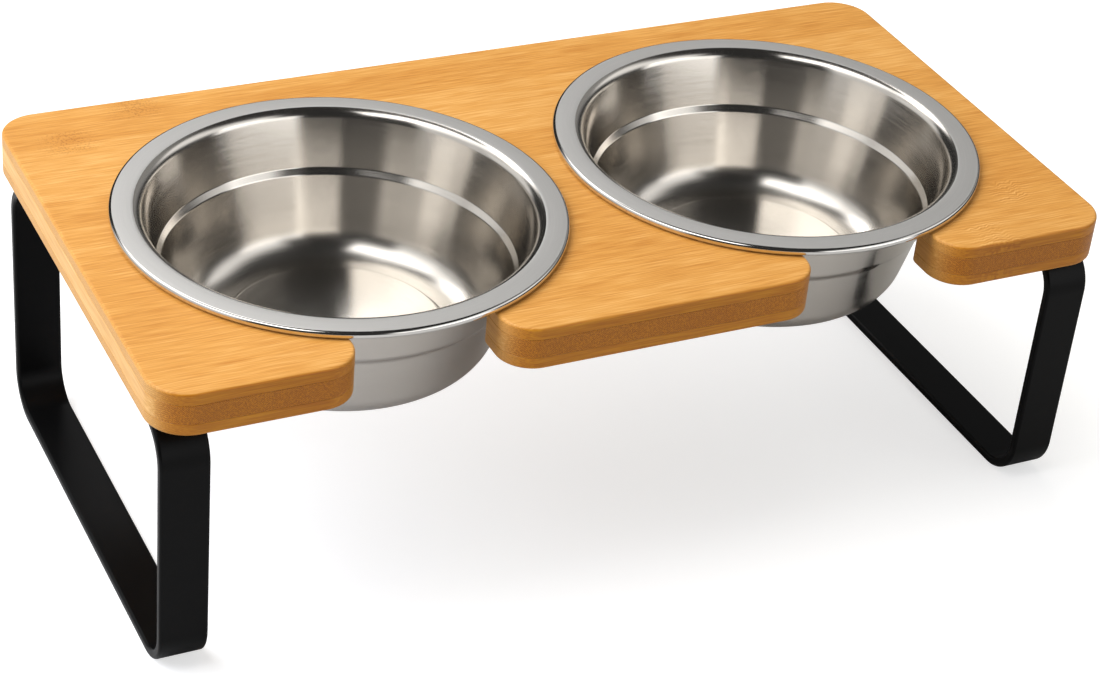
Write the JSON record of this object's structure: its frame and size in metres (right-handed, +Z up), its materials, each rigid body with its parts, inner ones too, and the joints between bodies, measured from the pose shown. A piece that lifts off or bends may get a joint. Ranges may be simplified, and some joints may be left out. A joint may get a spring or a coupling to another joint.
{
  "type": "elevated dog bowl",
  "caption": "Raised feeder: bamboo board on bent flat-bar legs, with drop-in steel bowls that lift out by finger slots in the front edge.",
  "frame": {"origin": "on the floor, below the middle of the board", "axes": "+X along the board to the right as seen from the finger slots, +Y to the rear edge, +Z up"},
  "size_m": [0.4, 0.208, 0.1315],
  "materials": {
    "bamboo_face": "oiled bamboo, grain along the board",
    "bamboo_core": "bamboo with its end grain in the long edges",
    "bowl_steel": "spun and satin polished stainless steel",
    "black_paint": "satin black powder coat",
    "screw_steel": "black oxide",
    "insert_brass": "turned"
  },
  "bodies": {
    "stand": {"board_top_ply": "bamboo_face", "board_core_ply": "bamboo_core", "board_bottom_ply": "bamboo_face", "left_leg": "black_paint", "right_leg": "black_paint", "left_leg_screws": "screw_steel", "right_leg_screws": "screw_steel", "left_leg_inserts": "insert_brass", "right_leg_inserts": "insert_brass"},
    "left_bowl": {"left_bowl": "bowl_steel"},
    "right_bowl": {"right_bowl": "bowl_steel"}
  },
  "joints": [
    {"name": "left_bowl_lift", "type": "slide", "parent": "stand", "child": "left_bowl", "axis": [0, 0, 1], "range_m": [0, 0.07]},
    {"name": "right_bowl_lift", "type": "slide", "parent": "stand", "child": "right_bowl", "axis": [0, 0, 1], "range_m": [0, 0.07]}
  ]
}
